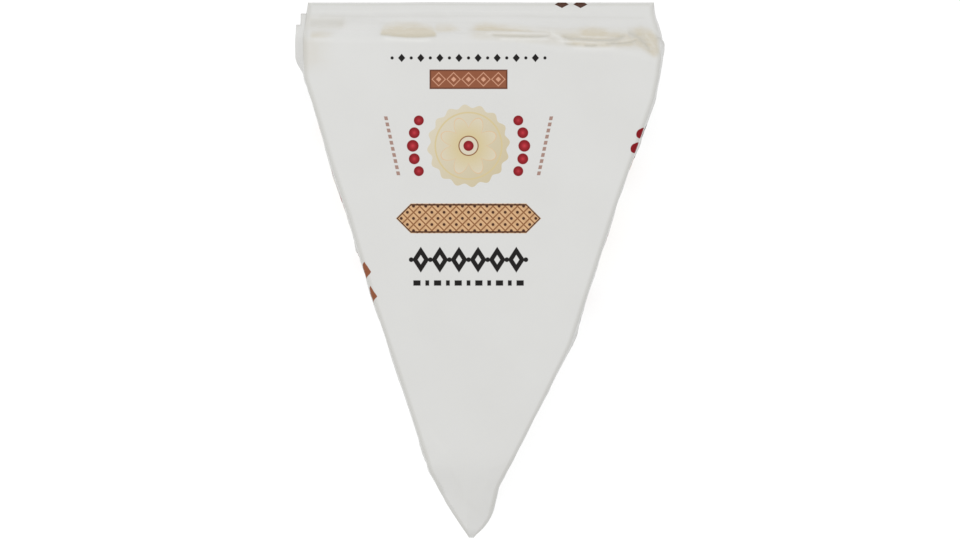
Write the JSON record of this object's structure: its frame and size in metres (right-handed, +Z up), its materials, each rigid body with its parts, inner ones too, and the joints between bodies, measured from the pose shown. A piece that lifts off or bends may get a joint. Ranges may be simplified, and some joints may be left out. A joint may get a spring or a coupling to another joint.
{
  "type": "paper-wrapped brie wedge",
  "caption": "Triangular wedge of soft white-rind cheese, shut in its folded and printed white paper wrap and lying flat with the printed face up.",
  "frame": {"origin": "centre of the bounding box at the level of the surface that the pack lies on", "axes": "+Z up out of the printed face, +Y from the narrow tip towards the broad rind end, +X to the right when the printed face is seen from above with the tip nearest"},
  "size_m": [0.0976, 0.143, 0.0289],
  "materials": {
    "paper": "white coated wrapping paper with a soft satin sheen, printed in dark brown, tan, cream and deep red"
  },
  "bodies": {
    "root": {"wrapped_wedge": "paper"}
  },
  "joints": []
}
